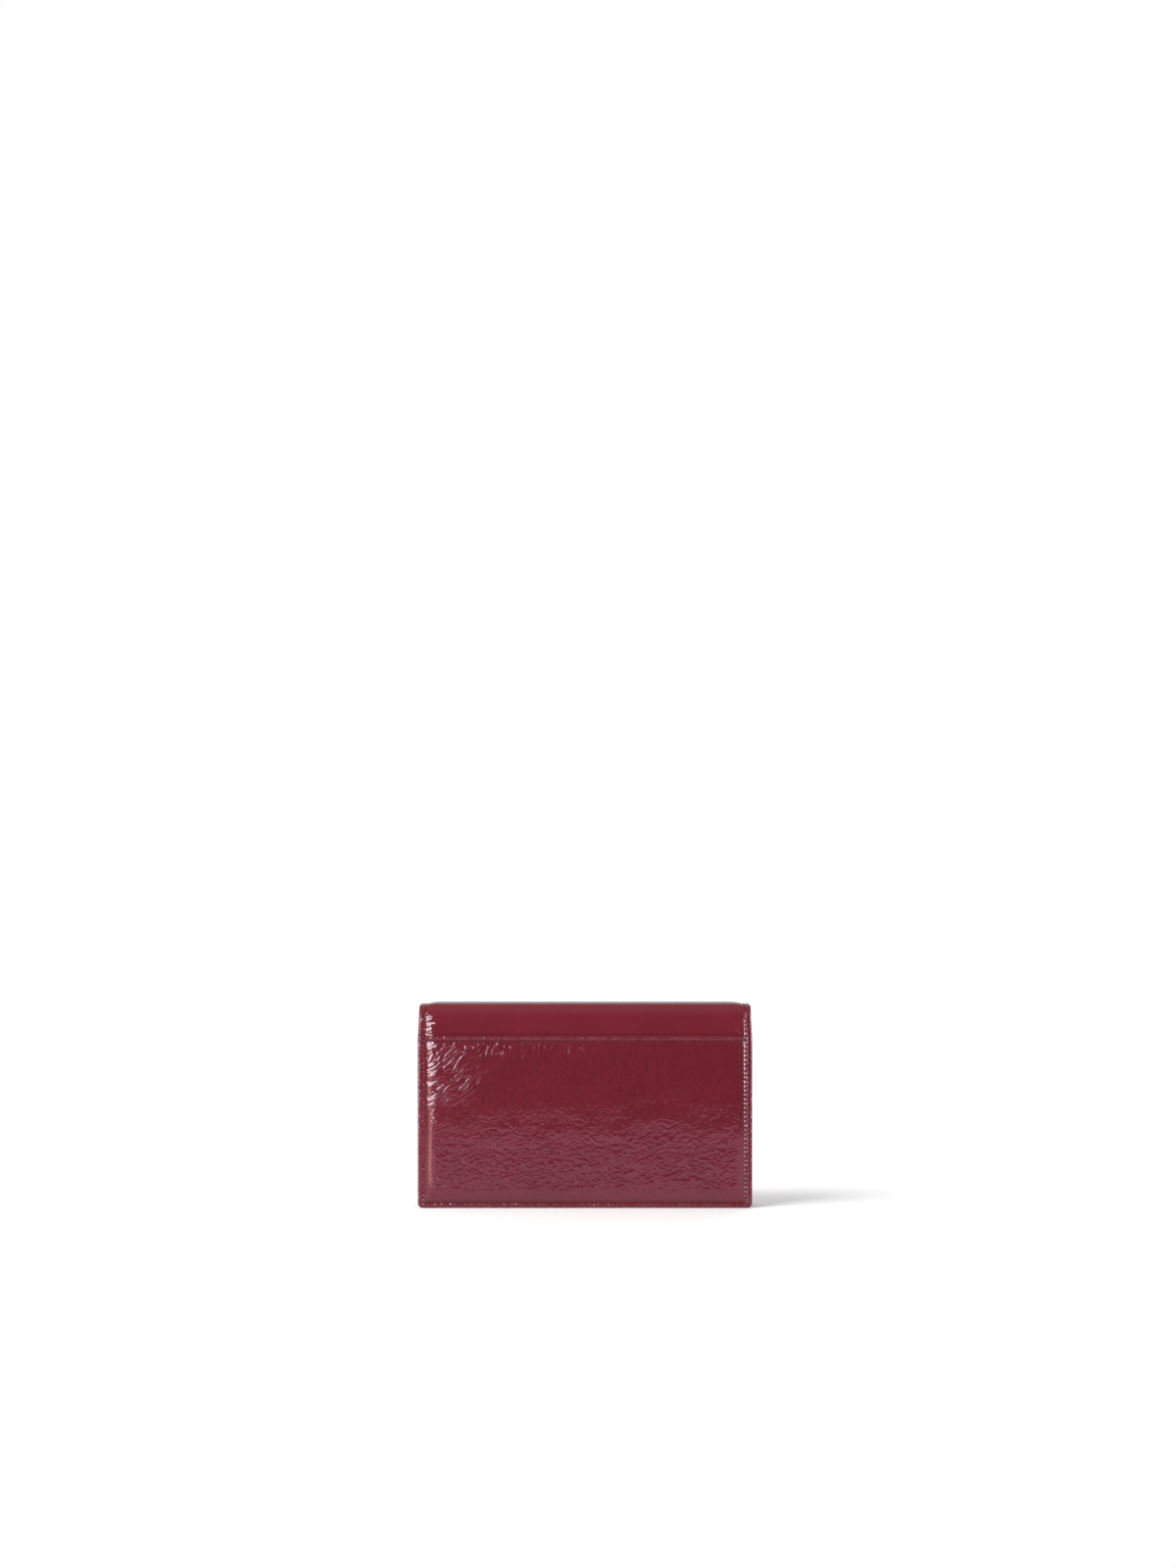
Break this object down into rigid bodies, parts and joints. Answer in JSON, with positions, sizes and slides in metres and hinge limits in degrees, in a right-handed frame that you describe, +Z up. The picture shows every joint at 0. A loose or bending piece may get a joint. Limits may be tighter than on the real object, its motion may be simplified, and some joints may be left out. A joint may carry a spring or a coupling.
{
  "type": "long wallet",
  "caption": "Long flap-over wallet of crinkled patent leather, with a stitched slip pocket on its back, a snap, note compartments, card tiers and a zipped coin pocket.",
  "frame": {"origin": "under the middle of the closed wallet, on the surface it stands on", "axes": "+X along the wallet's length, to the right when its back is seen; -Y out of the back, which carries the slip pocket; +Y out of the front, which the flap covers; +Z up"},
  "size_m": [0.19, 0.03, 0.116],
  "materials": {
    "patent_leather": "gloss",
    "lining_leather": "matte",
    "card_leather": "satin",
    "stiffener_board": "matte",
    "foam": "matte",
    "zip_tape": "matte",
    "zip_metal": "polished",
    "snap_metal": "polished",
    "magnet": "matte"
  },
  "bodies": {
    "back": {"back_panel": "patent_leather", "back_pocket": "patent_leather", "back_pocket_padding": "foam", "back_stiffener": "stiffener_board", "back_lining": "lining_leather", "back_card_tier_1": "card_leather", "back_card_tier_2": "card_leather", "back_card_tier_3": "card_leather", "back_card_tier_4": "card_leather", "back_gusset_left": "lining_leather", "back_gusset_right": "lining_leather", "back_floor": "lining_leather"},
    "top": {"top_band": "patent_leather", "top_lining": "lining_leather"},
    "flap": {"flap_outer": "patent_leather", "flap_stiffener": "stiffener_board", "flap_lining": "lining_leather", "snap_socket": "snap_metal", "snap_magnet": "magnet", "snap_socket_plate": "snap_metal"},
    "coin_pocket": {"coin_wall_back": "lining_leather", "coin_wall_front": "lining_leather", "coin_base": "lining_leather", "coin_side_left": "lining_leather", "coin_side_right": "lining_leather", "zip_tape_back": "zip_tape", "zip_tape_front": "zip_tape", "zip_teeth_back": "zip_metal", "zip_teeth_front": "zip_metal", "zip_stop_left": "zip_metal", "zip_stop_right": "zip_metal"},
    "slider": {"zip_slider": "zip_metal"},
    "pull": {"zip_pull": "zip_metal"},
    "front_board": {"front_panel": "patent_leather", "front_stiffener": "stiffener_board", "front_lining": "lining_leather", "front_card_tier_1": "card_leather", "front_card_tier_2": "card_leather", "front_card_tier_3": "card_leather", "front_card_tier_4": "card_leather", "front_gusset_left": "lining_leather", "front_gusset_right": "lining_leather", "front_floor": "lining_leather", "snap_stud": "snap_metal", "snap_stud_washer": "snap_metal"}
  },
  "joints": [
    {"name": "top_fold", "type": "hinge", "parent": "back", "child": "top", "pos_m": [0, -0.012, 0.1144], "axis": [1, 0, 0], "range_deg": [0, 95]},
    {"name": "flap_fold", "type": "hinge", "parent": "top", "child": "flap", "pos_m": [0, 0.0134, 0.1144], "axis": [1, 0, 0], "range_deg": [0, 95]},
    {"name": "coin_pocket_tilt", "type": "hinge", "parent": "back", "child": "coin_pocket", "pos_m": [0, 0.0135, 0], "axis": [1, 0, 0], "range_deg": [-4.5, 0], "deforming": ["back_gusset_left", "back_gusset_right", "back_floor"]},
    {"name": "front_board_tilt", "type": "hinge", "parent": "coin_pocket", "child": "front_board", "pos_m": [0, 0.0135, 0], "axis": [1, 0, 0], "range_deg": [-4.5, 0], "deforming": ["front_gusset_left", "front_gusset_right", "front_floor"]},
    {"name": "zip_slide", "type": "slide", "parent": "coin_pocket", "child": "slider", "axis": [1, 0, 0], "range_m": [0, 0.148]},
    {"name": "zip_pull_swing", "type": "hinge", "parent": "slider", "child": "pull", "pos_m": [-0.074, -0.00045, 0.0946], "axis": [0, -1, 0], "range_deg": [0, 180]}
  ],
  "couplings": [
    {"joint": "coin_pocket_tilt", "follows": "flap_fold", "ratio": -0.045},
    {"joint": "front_board_tilt", "follows": "flap_fold", "ratio": -0.045}
  ]
}
